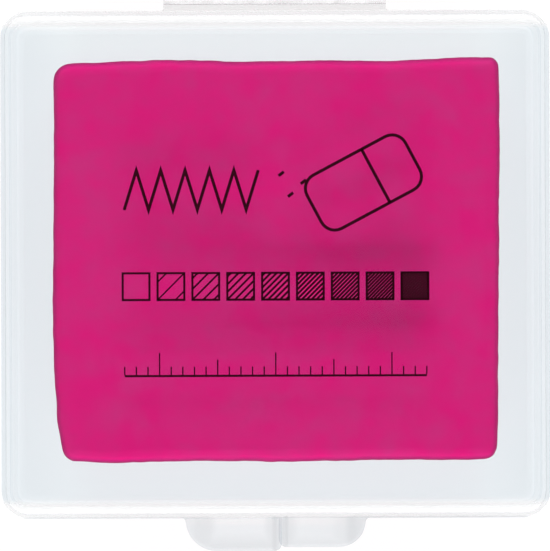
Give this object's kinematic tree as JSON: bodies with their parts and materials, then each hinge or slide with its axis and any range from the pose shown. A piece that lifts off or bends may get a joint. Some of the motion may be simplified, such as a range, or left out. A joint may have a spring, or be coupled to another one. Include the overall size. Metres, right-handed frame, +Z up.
{
  "type": "kneaded eraser",
  "caption": "Soft magenta kneaded eraser slab in a low translucent snap case with a living-hinge lid and two thumb tabs.",
  "frame": {"origin": "centre of the case's underside, in the middle of the case's outline without the hinge strap and the thumb tabs", "axes": "+Z up through the lid, -Y towards the thumb tabs, +Y towards the hinge, +X to the right as seen from the front"},
  "size_m": [0.0476, 0.0479, 0.0124],
  "materials": {
    "eraser_putty": "soft matt magenta kneadable rubber",
    "case_plastic": "natural translucent polypropylene, smooth with a faint milky haze",
    "hinge_plastic": "the same polypropylene, whitened where it bends"
  },
  "bodies": {
    "base": {"case_base": "case_plastic", "eraser": "eraser_putty", "hinge_web": "hinge_plastic"},
    "lid": {"case_lid": "case_plastic"}
  },
  "joints": [
    {"name": "lid_hinge", "type": "hinge", "parent": "base", "child": "lid", "pos_m": [0, 0.02256, 0.00722], "axis": [-1, 0, 0], "range_deg": [0, 180], "deforming": ["hinge_web"]}
  ]
}
